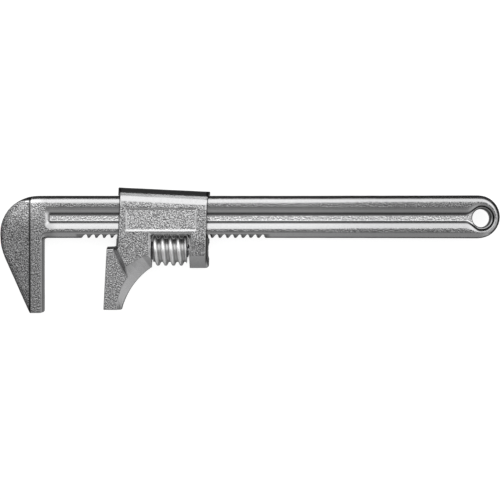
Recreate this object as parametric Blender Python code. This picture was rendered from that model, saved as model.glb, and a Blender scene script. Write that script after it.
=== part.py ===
"""Worm-and-rack adjustable wrench, 15 in size.

The wrench lies flat: the bar runs along X with the fixed jaw at -X, the jaws point to -Y, and Z is
the thickness. The origin is under the middle of the wrench, on the surface it lies on.

Outlines are drawn in plan, in metres, on the wrench's mid-plane, and read counter-clockwise. A
forging is a stack of such outlines at rising heights, mirrored below the mid-plane, and its pockets,
bores and teeth are cut out of that stack.
"""

from math import atan2, cos, pi, radians, sin, sqrt, tan

import bmesh
import bpy
from mathutils import Vector

MM = 0.001
CLEARANCE = 0.3 * MM
OVERCUT = 2.0 * MM
SHARP_EDGE = radians(35)
MITRED_CORNER = radians(25)
ROUND_SEGMENTS = 32
CORNER_STEPS = 4

# Overall size
LENGTH = 381.0 * MM
JAW_TIP_Y = -47.9 * MM

# Bar, the straight part that the sliding jaw runs on
BAR_Y = 25.3 * MM
BAR_WIDTH = 32.2 * MM
BAR_HALF_THICKNESS = 8.0 * MM
BAR_EDGE_HALF_HEIGHT = 2.0 * MM
UPPER_RIDGE_INSET = 6.6 * MM
LOWER_RIDGE_INSET = 5.3 * MM
RIDGE_STEPS = 6
GRIP_WIDTH = 32.8 * MM
GRIP_TAPER_START = 38.0 * MM
GRIP_END_STEPS = 18

# Fixed jaw and its head
HEAD_RADIUS = 29.2 * MM
HEAD_STEPS = 12
HEAD_RIDGE_STEPS = 7
HEAD_HEEL_RADIUS = 44.8 * MM
JAW_BACK_ANGLE = radians(24.8)
FIXED_FACE_X = -157.8 * MM
THROAT_RADIUS = 2.6 * MM
TOE_RADIUS = 1.8 * MM
JAW_EDGE_BEVEL = 0.7 * MM
THROAT_LENGTH = 9.0 * MM
CREASE_X = -167.2 * MM
FACET_ANGLE = radians(11.5)

# Recess along each side of the bar, widening to a pad around the hang hole
WEB_HALF_THICKNESS = 4.5 * MM
RECESS_Y = 24.4 * MM
RECESS_FLOOR_HALF_WIDTH = 2.3 * MM
RECESS_START_X = -152.4 * MM
RECESS_START_GROWTH = 0.55
RECESS_CORNER_SHARE = 0.4
RECESS_WALL = [(0.0 * MM, 0.0 * MM), (1.3 * MM, 1.9 * MM), (3.5 * MM, 2.8 * MM), (6.4 * MM, 3.6 * MM)]
HANG_HOLE_X = 176.2 * MM
HANG_HOLE_Y = 24.3 * MM
HANG_HOLE_DIAMETER = 14.0 * MM
HANG_HOLE_BEVEL = 0.5 * MM
HANG_PAD_RADIUS = 8.6 * MM
HANG_PAD_GROWTH = 0.45
HANG_PAD_JOIN_ANGLE = 0.12
HANG_FLARE_LENGTH = 11.0 * MM
HANG_FLARE_END_X = HANG_HOLE_X - 1.0 * MM
HANG_FLARE_STEPS = 6

# Rack and worm
PITCH = 5.9 * MM
RACK_START_X = -128.6 * MM
RACK_GAPS = 24
RACK_DEPTH = 2.9 * MM
RACK_GAP_TOP = -0.77 * MM
RACK_GAP = [
    (-0.5 * MM, RACK_GAP_TOP),
    (1.6 * MM, 2.45 * MM),
    (3.6 * MM, RACK_DEPTH),
    (4.0 * MM, RACK_DEPTH),
    (4.75 * MM, RACK_GAP_TOP),
]
WORM_RADIUS = 11.6 * MM
WORM_Y = -0.4 * MM
WORM_START_X = -73.7 * MM
WORM_END_X = -48.2 * MM
THREAD_DEPTH = 2.9 * MM
THREAD_CREST = 1.4 * MM
THREAD_FLANK_RUN = 0.48
THREAD_SEGMENTS = 32
WORM_HUB_RADIUS = 7.0 * MM
WORM_END_BEVEL = 0.8 * MM
SPRING_POCKET_RADIUS = 5.6 * MM
SPRING_POCKET_DEPTH = 6.0 * MM
MESH_OFFSET = 2.4 * MM
THREAD_TURNS = 9
THREAD_LEAD_IN_TURNS = 3

# Sliding jaw
SLIDE_HALF_THICKNESS = 12.0 * MM
SLIDE_JAW_HALF_THICKNESS = 8.0 * MM
SLIDE_LEFT_X = -102.4 * MM
SLIDE_RIGHT_X = -31.2 * MM
SLIDE_BACK_HIGH = 47.9 * MM
SLIDE_BACK_LOW = 44.6 * MM
SLIDE_BACK_DEPTH = 14.0 * MM
SLIDE_BACK_STEPS = 6
SLIDE_LEG_Y = -13.8 * MM
SLIDE_TIP_Y = -45.5 * MM
SLIDE_EDGE_HALF_HEIGHT = 3.0 * MM
SLIDE_END_DRAFT = 1.8 * MM
SLIDE_END_ROUNDING = 0.9 * MM
LEG_FACET_WIDTH = 9.4 * MM
SLIDE_RIGHT_LEAN = 0.9 * MM
SLIDE_LEFT_LEAN = 1.9 * MM
SLIDE_FACE_TILT = radians(2.9)
SLIDE_FACE_TOP = (-108.9 * MM, 2.6 * MM)
JAW_BACK_RADIUS = 54.7 * MM
JAW_BACK_TOP = (-75.6 * MM, -13.3 * MM)
JAW_BACK_BOTTOM_X = -98.0 * MM
JAW_BACK_STEPS = 9
LEG_CORNER_RADIUS = 2.6 * MM
LEG_TOP_CORNER_RADIUS = 0.6 * MM
JAW_TOP_ROUNDING = 2.3 * MM
BACK_BAND_WIDTH = 3.9 * MM
BACK_BAND_GROWTH = 2.4 * MM
BACK_FACET_WIDTH = 13.0 * MM
BACK_FACET_NARROWING = 3.0 * MM
BACK_NARROWING_START = 0.6
WINDOW_LEFT_X = -75.1 * MM
WINDOW_RIGHT_X = -46.0 * MM
WINDOW_TOP_Y = 11.8 * MM
WINDOW_BEVEL = 1.5 * MM
PANEL_LEFT_X = -94.2 * MM
PANEL_RIGHT_X = -40.4 * MM
PANEL_TOP_Y = 31.9 * MM
PANEL_BOTTOM_Y = 14.2 * MM
PANEL_DEPTH = 0.5 * MM
PANEL_WALL = 1.2 * MM
STEP_RAMP = 3.8 * MM
STEP_RAMP_SHARES = [0.3, 0.7, 1.0, 1.0, 0.3]
STEP_FOOT = [
    (-88.0 * MM, -30.0 * MM),
    (-92.5 * MM, -21.6 * MM),
    (-96.4 * MM, -15.6 * MM),
    (-100.0 * MM, -8.4 * MM),
    (-103.6 * MM, -1.2 * MM),
]
STEP_TOP_Y = 8.0 * MM

# Worm axle, a slotted screw put in from the handle side
AXLE_RADIUS = 3.0 * MM
AXLE_TIP_RADIUS = 2.5 * MM
AXLE_TIP_LENGTH = 10.0 * MM
AXLE_HEAD_RADIUS = 5.0 * MM
AXLE_HEAD_LENGTH = 3.4 * MM
AXLE_SLOT_WIDTH = 1.2 * MM
AXLE_SLOT_DEPTH = 1.5 * MM
AXLE_HEAD_SUNK = 0.6 * MM
AXLE_END_GAP = 0.9 * MM

# Worm spring
SPRING_RADIUS = 4.5 * MM
SPRING_WIRE = 1.0 * MM
SPRING_TURNS = 4
SPRING_POINTS_PER_TURN = 16

SLIDE_ORIGIN = Vector(((WORM_START_X + WORM_END_X) / 2, WORM_Y, 0))


# ---------------------------------------------------------------- helpers

def remove_everything():
    for item in list(bpy.data.objects):
        bpy.data.objects.remove(item, do_unlink=True)


def empty(name, location, parent=None):
    item = bpy.data.objects.new(name, None)
    item.location = location
    item.parent = parent
    bpy.context.collection.objects.link(item)
    return item


def metal(name, colour, roughness):
    material = bpy.data.materials.new(name)
    material.use_nodes = True
    shader = material.node_tree.nodes["Principled BSDF"]
    shader.inputs["Base Color"].default_value = (*colour, 1.0)
    shader.inputs["Metallic"].default_value = 1.0
    shader.inputs["Roughness"].default_value = roughness
    return material


def mesh_object(name, points, faces, parent, origin=Vector()):
    """Points are wrench coordinates; origin is where the parent stands in them."""
    mesh = bpy.data.meshes.new(name)
    mesh.from_pydata([Vector(point) - origin for point in points], [], faces)
    mesh.shade_smooth()
    mesh.set_sharp_from_angle(angle=SHARP_EDGE)
    item = bpy.data.objects.new(name, mesh)
    item.parent = parent
    bpy.context.collection.objects.link(item)
    return item


def ring_stack(rings):
    """Points and faces of a closed solid through rings of equally many points."""
    count = len(rings[0])
    points = [point for ring in rings for point in ring]
    faces = [tuple(reversed(range(count)))]
    for level in range(len(rings) - 1):
        low = level * count
        for here in range(count):
            after = (here + 1) % count
            faces.append((low + here, low + after, low + count + after, low + count + here))
    last = (len(rings) - 1) * count
    faces.append(tuple(range(last, last + count)))
    return points, faces


def arc(centre, radius, start, end, steps):
    """Points on an arc, both ends included; angles in radians."""
    return [
        Vector((
            centre[0] + radius * cos(start + (end - start) * step / steps),
            centre[1] + radius * sin(start + (end - start) * step / steps),
        ))
        for step in range(steps + 1)
    ]


def inset(outline, amounts):
    """Move edge i of a counter-clockwise outline, from point i to the next, inward by amounts[i]."""
    moved = []
    count = len(outline)
    for here in range(count):
        into = (outline[here] - outline[here - 1]).normalized()
        out = (outline[(here + 1) % count] - outline[here]).normalized()
        normal_in = Vector((-into.y, into.x))
        normal_out = Vector((-out.y, out.x))
        amount_in = amounts[here - 1]
        amount_out = amounts[here]
        turn = into.x * out.y - into.y * out.x
        if abs(turn) < sin(MITRED_CORNER):
            normal = (normal_in + normal_out).normalized()
            step = normal * (amount_in + amount_out) / 2
        else:
            along = (amount_in * normal_in.dot(normal_out) - amount_out) / turn
            step = normal_in * amount_in + into * along
        moved.append(outline[here] + step)
    return moved


def at_height(outline, height):
    return [Vector((point[0], point[1], height)) for point in outline]


def mirrored_stack(levels):
    """Rings for levels of (outline, height) from the mid-plane up, and the same below it."""
    below = [at_height(outline, -height) for outline, height in reversed(levels) if height > 0]
    above = [at_height(outline, height) for outline, height in levels]
    return below + above


def turned(profile, centre_y, segments=ROUND_SEGMENTS):
    """Rings of a solid turned about an axis along X; profile holds (x, radius) from left to right."""
    rings = []
    for x, radius in profile:
        ring = []
        for step in range(segments):
            angle = 2 * pi * step / segments
            ring.append(Vector((x, centre_y + radius * cos(angle), radius * sin(angle))))
        rings.append(ring)
    return rings


def box_rings(x_low, x_high, y_low, y_high, heights):
    corners = [(x_low, y_low), (x_high, y_low), (x_high, y_high), (x_low, y_high)]
    return [at_height(corners, height) for height in heights]


def boolean(target, cutter, operation="DIFFERENCE"):
    """Apply a cutter that stands beside its target, under the same parent."""
    cutter.parent = target.parent
    cutter.hide_render = True
    cutter.display_type = "WIRE"
    modifier = target.modifiers.new(cutter.name, "BOOLEAN")
    modifier.operation = operation
    modifier.solver = "EXACT"
    modifier.object = cutter


def ease(fraction):
    """A smooth step from 0 to 1."""
    fraction = min(max(fraction, 0.0), 1.0)
    return fraction * fraction * (3 - 2 * fraction)


# ---------------------------------------------------------------- handle with the fixed jaw

def ridge_levels():
    """(share of the ridge inset, height) from the edge of the bar up to its crest, a rounded flank."""
    rise = BAR_HALF_THICKNESS - BAR_EDGE_HALF_HEIGHT
    levels = []
    for step in range(RIDGE_STEPS + 1):
        angle = pi / 2 * step / RIDGE_STEPS
        levels.append((1 - cos(angle), BAR_EDGE_HALF_HEIGHT + rise * sin(angle)))
    return levels


def handle_outline():
    """Plan outline of the forging, and how far the bar's rounded ridge reaches in from each edge."""
    bottom = BAR_Y - BAR_WIDTH / 2
    top = BAR_Y + BAR_WIDTH / 2
    grip_centre = (LENGTH / 2 - GRIP_WIDTH / 2, BAR_Y)
    head_centre = (-LENGTH / 2 + HEAD_RADIUS, top - HEAD_RADIUS)
    heel_centre = (-LENGTH / 2 + HEAD_HEEL_RADIUS, head_centre[1])

    throat_centre = (FIXED_FACE_X + THROAT_RADIUS, bottom - THROAT_RADIUS)
    fillet = arc(throat_centre, THROAT_RADIUS, pi, pi / 2, CORNER_STEPS)
    fillet_shares = [(step + 1) / (len(fillet) + 1) for step in range(len(fillet))]
    fillet_ridges = [LOWER_RIDGE_INSET * ease(share) for share in fillet_shares]
    # The rack lies between two points of its own, so that the faces it is cut in are flat
    rack_end = RACK_START_X + (RACK_GAPS + 1) * PITCH
    bar_bottom = [
        Vector((x, bottom))
        for x in (FIXED_FACE_X + THROAT_LENGTH, RACK_START_X - PITCH, rack_end, GRIP_TAPER_START)
    ]
    grip_end = arc(grip_centre, GRIP_WIDTH / 2, -pi / 2, pi / 2, GRIP_END_STEPS)
    grip_ridges = []
    for step in range(len(grip_end)):
        share = ease(step / (len(grip_end) - 1))
        grip_ridges.append(LOWER_RIDGE_INSET + (UPPER_RIDGE_INSET - LOWER_RIDGE_INSET) * share)
    bar_top = [Vector((GRIP_TAPER_START, top))]
    head = arc(head_centre, HEAD_RADIUS, pi / 2, pi, HEAD_STEPS)
    head_ridges = [UPPER_RIDGE_INSET * ease(1 - step / HEAD_RIDGE_STEPS) for step in range(len(head))]
    heel = arc(heel_centre, HEAD_HEEL_RADIUS, pi, pi + JAW_BACK_ANGLE, CORNER_STEPS)[1:]
    toe_x = heel[-1].x + (heel[-1].y - JAW_TIP_Y) * tan(JAW_BACK_ANGLE)
    toe = [Vector((toe_x, JAW_TIP_Y))]
    corner_centre = (FIXED_FACE_X - TOE_RADIUS, JAW_TIP_Y + TOE_RADIUS)
    corner = arc(corner_centre, TOE_RADIUS, -pi / 2, 0, CORNER_STEPS)

    outline = fillet + bar_bottom + grip_end + bar_top + head + heel + toe + corner
    ridges = fillet_ridges + [LOWER_RIDGE_INSET] * len(bar_bottom) + grip_ridges
    ridges += [UPPER_RIDGE_INSET] * len(bar_top) + head_ridges
    ridges += [0.0] * (len(heel) + len(toe) + len(corner))
    return outline, ridges


def recess_outline(growth):
    """Outline of the recess at a height where its walls stand back from the floor by growth."""
    half = RECESS_FLOOR_HALF_WIDTH + growth
    pad = HANG_PAD_RADIUS + HANG_PAD_GROWTH * growth
    corner = RECESS_CORNER_SHARE * half
    left = RECESS_START_X - RECESS_START_GROWTH * growth
    lower_centre = (left + corner, RECESS_Y - half + corner)
    upper_centre = (left + corner, RECESS_Y + half - corner)
    lower_left = arc(lower_centre, corner, pi, 3 * pi / 2, CORNER_STEPS)
    upper_left = arc(upper_centre, corner, pi / 2, pi, CORNER_STEPS)
    lower = []
    upper = []
    for step in range(HANG_FLARE_STEPS + 1):
        along = step / HANG_FLARE_STEPS
        x = HANG_FLARE_END_X - HANG_FLARE_LENGTH * (1 - along)
        centre = RECESS_Y + (HANG_HOLE_Y - RECESS_Y) * ease(along)
        width = half + (pad - half) * ease(along)
        lower.append(Vector((x, centre - width)))
        upper.insert(0, Vector((x, centre + width)))
    reach = pi / 2 - HANG_PAD_JOIN_ANGLE
    pad_end = arc((HANG_HOLE_X, HANG_HOLE_Y), pad, -reach, reach, 3 * CORNER_STEPS)
    return lower_left + lower + pad_end + upper + upper_left


def recess_cutter(name, side, parent):
    """One recess, on the +Z side for side 1 and the -Z side for side -1, steepest at its foot."""
    rings = []
    for growth, rise in RECESS_WALL:
        rings.append(at_height(recess_outline(growth), side * (WEB_HALF_THICKNESS + rise)))
    rim = recess_outline(RECESS_WALL[-1][0])
    rings.append(at_height(rim, side * (BAR_HALF_THICKNESS + OVERCUT)))
    if side < 0:
        rings.reverse()
    return mesh_object(name, *ring_stack(rings), parent)


def facet_cutter(name, side, parent):
    """Wedge that leaves the sloping facet behind the crease of the head."""
    left = -LENGTH / 2 - 2 * OVERCUT
    drop = (CREASE_X - left) * tan(FACET_ANGLE)
    over = BAR_HALF_THICKNESS + 2 * OVERCUT
    right = CREASE_X + 2 * OVERCUT / tan(FACET_ANGLE)
    section = [(left, BAR_HALF_THICKNESS - drop), (right, over), (left, over)]
    rings = []
    for y in (LENGTH, -LENGTH):
        rings.append([Vector((x, y, side * height)) for x, height in section])
    if side < 0:
        rings.reverse()
    return mesh_object(name, *ring_stack(rings), parent)


def rack_cutter(parent):
    """All rack gaps as prisms that lean with the worm's lead; RACK_GAP holds (along, depth) points."""
    lean = PITCH / (2 * pi * (WORM_RADIUS - RACK_DEPTH / 3))
    tips_y = BAR_Y - BAR_WIDTH / 2
    reach = BAR_HALF_THICKNESS + OVERCUT
    points = []
    faces = []
    for gap in range(RACK_GAPS):
        start = RACK_START_X + gap * PITCH
        rings = []
        for height in (-reach, reach):
            shift = start + lean * height
            ring = [Vector((shift + x, tips_y + depth, height)) for x, depth in RACK_GAP]
            rings.append(list(reversed(ring)))
        gap_points, gap_faces = ring_stack(rings)
        base = len(points)
        points += gap_points
        faces += [tuple(base + corner for corner in face) for face in gap_faces]
    return mesh_object("rack_cutter", points, faces, parent)


def hang_hole_cutter(parent):
    """Bore through the web with a small bevel at each end."""
    radius = HANG_HOLE_DIAMETER / 2
    bevel = HANG_HOLE_BEVEL
    stations = [
        (-WEB_HALF_THICKNESS - bevel, radius + 2 * bevel),
        (-WEB_HALF_THICKNESS + bevel, radius),
        (WEB_HALF_THICKNESS - bevel, radius),
        (WEB_HALF_THICKNESS + bevel, radius + 2 * bevel),
    ]
    rings = []
    for height, ring_radius in stations:
        circle = arc((HANG_HOLE_X, HANG_HOLE_Y), ring_radius, 0, 2 * pi, ROUND_SEGMENTS)[:-1]
        rings.append(at_height(circle, height))
    return mesh_object("hang_hole_cutter", *ring_stack(rings), parent)


def build_handle(root, material):
    outline, ridges = handle_outline()
    levels = []
    for share, height in ridge_levels():
        bevel = JAW_EDGE_BEVEL * max(0.0, 2 * share - 1)
        amounts = [share * ridge + bevel * max(0.0, 1 - ridge / LOWER_RIDGE_INSET) for ridge in ridges]
        levels.append((inset(outline, amounts), height))
    handle = mesh_object("handle_with_fixed_jaw", *ring_stack(mirrored_stack(levels)), root)
    handle.data.materials.append(material)
    for side, word in ((1, "upper"), (-1, "lower")):
        boolean(handle, facet_cutter(f"{word}_facet_cutter", side, root))
        boolean(handle, recess_cutter(f"{word}_recess_cutter", side, root))
    boolean(handle, hang_hole_cutter(root))
    boolean(handle, rack_cutter(root))
    return handle


# ---------------------------------------------------------------- sliding jaw

def bulge(share):
    """How far a quarter circle has come in, from 0 at its foot to 1 at its top."""
    return 1 - sqrt(max(0.0, 1 - share * share))


def jaw_back(height):
    """The hollow back of the sliding jaw, from its tip up to the worm window.

    Above its upright edge it slopes in twice: a narrow band up to the jaw's flat, which widens over the
    jaw's lower half, then a wide facet up to the cheek, which narrows again near the window."""
    start = Vector((JAW_BACK_BOTTOM_X, SLIDE_TIP_Y))
    end = Vector(JAW_BACK_TOP)
    chord = end - start
    outward = Vector((chord.y, -chord.x)).normalized()
    centre = (start + end) / 2 + outward * sqrt(JAW_BACK_RADIUS ** 2 - (chord.length / 2) ** 2)
    first = atan2(start.y - centre.y, start.x - centre.x)
    last = atan2(end.y - centre.y, end.x - centre.x)
    band_share = (height - SLIDE_EDGE_HALF_HEIGHT) / (SLIDE_JAW_HALF_THICKNESS - SLIDE_EDGE_HALF_HEIGHT)
    band_share = min(max(band_share, 0.0), 1.0)
    facet_share = (height - SLIDE_JAW_HALF_THICKNESS) / (SLIDE_HALF_THICKNESS - SLIDE_JAW_HALF_THICKNESS)
    facet_share = max(facet_share, 0.0)
    points = []
    for step in range(JAW_BACK_STEPS + 1):
        along = step / JAW_BACK_STEPS
        angle = first + (last - first) * along
        band = BACK_BAND_WIDTH + BACK_BAND_GROWTH * ease(2 * along)
        near_window = ease((along - BACK_NARROWING_START) / (1 - BACK_NARROWING_START))
        facet = BACK_FACET_WIDTH - BACK_FACET_NARROWING * near_window
        reach = JAW_BACK_RADIUS + band * band_share + (facet - band) * facet_share
        points.append(centre + reach * Vector((cos(angle), sin(angle))))
    points[0].y = SLIDE_TIP_Y
    return points


def slide_outline(height):
    """Plan outline of the sliding jaw forging at a height above the mid-plane."""
    share = height / SLIDE_HALF_THICKNESS
    end_inset = SLIDE_END_DRAFT * share + SLIDE_END_ROUNDING * bulge(share)
    back_inset = SLIDE_BACK_DEPTH * bulge(share)
    above_edge = max(0.0, height - SLIDE_EDGE_HALF_HEIGHT)
    leg_inset = LEG_FACET_WIDTH * above_edge / (SLIDE_HALF_THICKNESS - SLIDE_EDGE_HALF_HEIGHT)
    top_inset = JAW_TOP_ROUNDING * bulge(min(1.0, height / SLIDE_JAW_HALF_THICKNESS))

    face_x, face_y = SLIDE_FACE_TOP
    tip_x = face_x - (face_y - SLIDE_TIP_Y) * tan(SLIDE_FACE_TILT)
    left = SLIDE_LEFT_X + end_inset
    right = SLIDE_RIGHT_X - end_inset
    leg_y = SLIDE_LEG_Y + leg_inset
    radius = LEG_CORNER_RADIUS - (LEG_CORNER_RADIUS - LEG_TOP_CORNER_RADIUS) * share

    outline = [Vector((tip_x, SLIDE_TIP_Y))]
    outline += jaw_back(height)
    outline += [Vector((WINDOW_RIGHT_X - OVERCUT, leg_y))]
    outline += arc((right - radius, leg_y + radius), radius, -pi / 2, 0, CORNER_STEPS)
    outline += [
        Vector((right + SLIDE_RIGHT_LEAN, SLIDE_BACK_LOW - back_inset)),
        Vector((left + SLIDE_LEFT_LEAN, SLIDE_BACK_HIGH - back_inset)),
        Vector((left, face_y + CLEARANCE - top_inset)),
        Vector((face_x, face_y - top_inset)),
    ]
    return outline


def slide_heights():
    """Heights of the sliding jaw's outlines, closer together where its back turns over."""
    heights = [SLIDE_EDGE_HALF_HEIGHT, SLIDE_JAW_HALF_THICKNESS]
    for step in range(SLIDE_BACK_STEPS + 1):
        heights.append(SLIDE_HALF_THICKNESS * sin(pi / 2 * step / SLIDE_BACK_STEPS))
    return sorted(heights)


def jaw_relief_cutter(name, side, parent):
    """Block that thins the jaw below the step; its wall ramps down to the jaw's flat."""
    far = 8 * OVERCUT
    outside_x = SLIDE_FACE_TOP[0] - far
    outside_y = SLIDE_TIP_Y - far
    foot = [
        Vector((outside_x, STEP_TOP_Y)),
        Vector((outside_x, outside_y)),
        Vector((JAW_BACK_BOTTOM_X + far, outside_y)),
    ]
    foot += [Vector(point) for point in STEP_FOOT]
    foot += [Vector((STEP_FOOT[-1][0], STEP_TOP_Y))]
    ramp = [0, 0, 0]
    ramp += [-STEP_RAMP * share for share in STEP_RAMP_SHARES]
    ramp += [0]
    low = SLIDE_JAW_HALF_THICKNESS
    high = SLIDE_HALF_THICKNESS
    top = inset(foot, ramp)
    over = inset(foot, [2 * amount for amount in ramp])
    rings = [at_height(foot, side * low), at_height(top, side * high)]
    rings.append(at_height(over, side * (2 * high - low)))
    if side < 0:
        rings.reverse()
    return mesh_object(name, *ring_stack(rings), parent, SLIDE_ORIGIN)


def bore_section():
    """Section of the sleeve's bore: the bar's hull with a running clearance."""
    half_width = BAR_WIDTH / 2
    upper_side = []
    lower_side = []
    for share, height in ridge_levels():
        edge = half_width + CLEARANCE * (1 - share)
        upper_side.append((edge - UPPER_RIDGE_INSET * share, height + CLEARANCE))
        lower_side.append((LOWER_RIDGE_INSET * share - edge, height + CLEARANCE))
    above = upper_side + list(reversed(lower_side))
    return above + [(across, -height) for across, height in reversed(above)]


def build_slide(carriage, material):
    stack = ring_stack(mirrored_stack([(slide_outline(height), height) for height in slide_heights()]))
    slide = mesh_object("sliding_jaw", *stack, carriage, SLIDE_ORIGIN)
    slide.data.materials.append(material)

    for side, word in ((1, "upper"), (-1, "lower")):
        boolean(slide, jaw_relief_cutter(f"{word}_relief_cutter", side, carriage))

    bore_rings = []
    for x in (SLIDE_LEFT_X - 4 * OVERCUT, SLIDE_RIGHT_X + 4 * OVERCUT):
        bore_rings.append([Vector((x, BAR_Y + across, height)) for across, height in bore_section()])
    boolean(slide, mesh_object("bore_cutter", *ring_stack(bore_rings), carriage, SLIDE_ORIGIN))

    window = []
    deep = SLIDE_HALF_THICKNESS + OVERCUT
    lip = SLIDE_HALF_THICKNESS - WINDOW_BEVEL
    grow = WINDOW_BEVEL + OVERCUT
    for height, extra in ((-deep, grow), (-lip, 0), (lip, 0), (deep, grow)):
        window += box_rings(
            WINDOW_LEFT_X - extra, WINDOW_RIGHT_X + extra, SLIDE_LEG_Y - 4 * OVERCUT,
            WINDOW_TOP_Y + extra, [height])
    boolean(slide, mesh_object("window_cutter", *ring_stack(window), carriage, SLIDE_ORIGIN))

    for side, word in ((1, "upper"), (-1, "lower")):
        rings = []
        for height, wall in ((-PANEL_DEPTH, PANEL_WALL), (PANEL_DEPTH, -PANEL_WALL)):
            rings += box_rings(
                PANEL_LEFT_X + wall, PANEL_RIGHT_X - wall, PANEL_BOTTOM_Y + wall, PANEL_TOP_Y - wall,
                [side * (SLIDE_HALF_THICKNESS + height)])
        if side < 0:
            rings.reverse()
        boolean(slide, mesh_object(f"{word}_panel_cutter", *ring_stack(rings), carriage, SLIDE_ORIGIN))

    tip = WINDOW_LEFT_X - AXLE_TIP_LENGTH - AXLE_END_GAP
    seat = SLIDE_RIGHT_X - AXLE_HEAD_SUNK - AXLE_HEAD_LENGTH - CLEARANCE
    axle_hole = [
        (tip, AXLE_TIP_RADIUS + CLEARANCE),
        (WINDOW_LEFT_X + OVERCUT, AXLE_TIP_RADIUS + CLEARANCE),
        (WINDOW_LEFT_X + 2 * OVERCUT, AXLE_RADIUS + CLEARANCE),
        (seat, AXLE_RADIUS + CLEARANCE),
        (seat, AXLE_HEAD_RADIUS + CLEARANCE),
        (SLIDE_RIGHT_X + 4 * OVERCUT, AXLE_HEAD_RADIUS + CLEARANCE),
    ]
    hole_rings = turned(axle_hole, WORM_Y)
    boolean(slide, mesh_object("axle_hole_cutter", *ring_stack(hole_rings), carriage, SLIDE_ORIGIN))
    return slide


# ---------------------------------------------------------------- worm, axle and spring

def thread_profile():
    """One pitch of the thread from the middle of a crest: (distance along the axis, radius)."""
    crest = THREAD_CREST / 2
    run = THREAD_FLANK_RUN * THREAD_DEPTH
    root = WORM_RADIUS - THREAD_DEPTH
    return [
        (-crest, WORM_RADIUS),
        (crest, WORM_RADIUS),
        (crest + run, root),
        (PITCH - crest - run, root),
    ]


def helical_blank():
    """A right-handed thread longer than the worm, closed by a fan at each end."""
    profile = thread_profile()
    per_turn = len(profile)
    rows = THREAD_TURNS * per_turn
    # A crest stands in a rack gap on the +Y side, which is angle 0 of the thread
    phase = (RACK_START_X + MESH_OFFSET - WORM_START_X) % PITCH - THREAD_LEAD_IN_TURNS * PITCH
    points = []
    for segment in range(THREAD_SEGMENTS):
        angle = 2 * pi * segment / THREAD_SEGMENTS
        for turn in range(THREAD_TURNS):
            start = WORM_START_X + phase + PITCH * (turn + segment / THREAD_SEGMENTS)
            for along, radius in profile:
                points.append(Vector((start + along, WORM_Y + radius * cos(angle), radius * sin(angle))))

    def index(segment, row):
        """One segment past the last is the first segment again, a turn further along."""
        if segment < THREAD_SEGMENTS:
            return segment * rows + row
        return row + per_turn

    last = THREAD_SEGMENTS - 1
    faces = []
    for segment in range(THREAD_SEGMENTS):
        row_count = rows - 1 if segment < last else rows - 1 - per_turn
        for row in range(row_count):
            faces.append((
                index(segment, row), index(segment, row + 1),
                index(segment + 1, row + 1), index(segment + 1, row)))
    start_rim = [index(segment, 0) for segment in range(THREAD_SEGMENTS + 1)]
    start_rim += [index(0, row) for row in range(per_turn - 1, 0, -1)]
    end_rim = [index(segment, rows - 1) for segment in range(THREAD_SEGMENTS)]
    end_rim += [index(last, row) for row in range(rows - 2, rows - 2 - per_turn, -1)]
    for rim, turn_over in ((start_rim, False), (end_rim, True)):
        middle = sum(points[corner].x for corner in rim) / len(rim)
        hub = len(points)
        points.append(Vector((middle, WORM_Y, 0)))
        for here, corner in enumerate(rim):
            after = rim[(here + 1) % len(rim)]
            faces.append((hub, after, corner) if turn_over else (hub, corner, after))
    return points, faces


def build_worm(carriage, material):
    points, faces = helical_blank()
    worm = mesh_object("adjusting_worm", points, faces, carriage, SLIDE_ORIGIN)
    worm.data.materials.append(material)
    bm = bmesh.new()
    bm.from_mesh(worm.data)
    bmesh.ops.recalc_face_normals(bm, faces=bm.faces)
    bm.to_mesh(worm.data)
    bm.free()

    over = WORM_RADIUS + CLEARANCE
    bevelled = WORM_RADIUS - WORM_END_BEVEL
    envelope = [
        (WINDOW_LEFT_X + CLEARANCE, WORM_HUB_RADIUS),
        (WORM_START_X, WORM_HUB_RADIUS),
        (WORM_START_X, bevelled),
        (WORM_START_X + WORM_END_BEVEL + CLEARANCE, over),
        (WORM_END_X - WORM_END_BEVEL - CLEARANCE, over),
        (WORM_END_X, bevelled),
    ]
    envelope_rings = turned(envelope, WORM_Y)
    boolean(
        worm, mesh_object("worm_envelope", *ring_stack(envelope_rings), carriage, SLIDE_ORIGIN),
        "INTERSECT")
    bore_radius = AXLE_RADIUS + CLEARANCE
    bore = [
        (WINDOW_LEFT_X - OVERCUT, bore_radius),
        (WORM_END_X - SPRING_POCKET_DEPTH, bore_radius),
        (WORM_END_X - SPRING_POCKET_DEPTH, SPRING_POCKET_RADIUS),
        (WORM_END_X + OVERCUT, SPRING_POCKET_RADIUS),
    ]
    bore_rings = turned(bore, WORM_Y)
    boolean(worm, mesh_object("worm_bore_cutter", *ring_stack(bore_rings), carriage, SLIDE_ORIGIN))
    return worm


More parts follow.
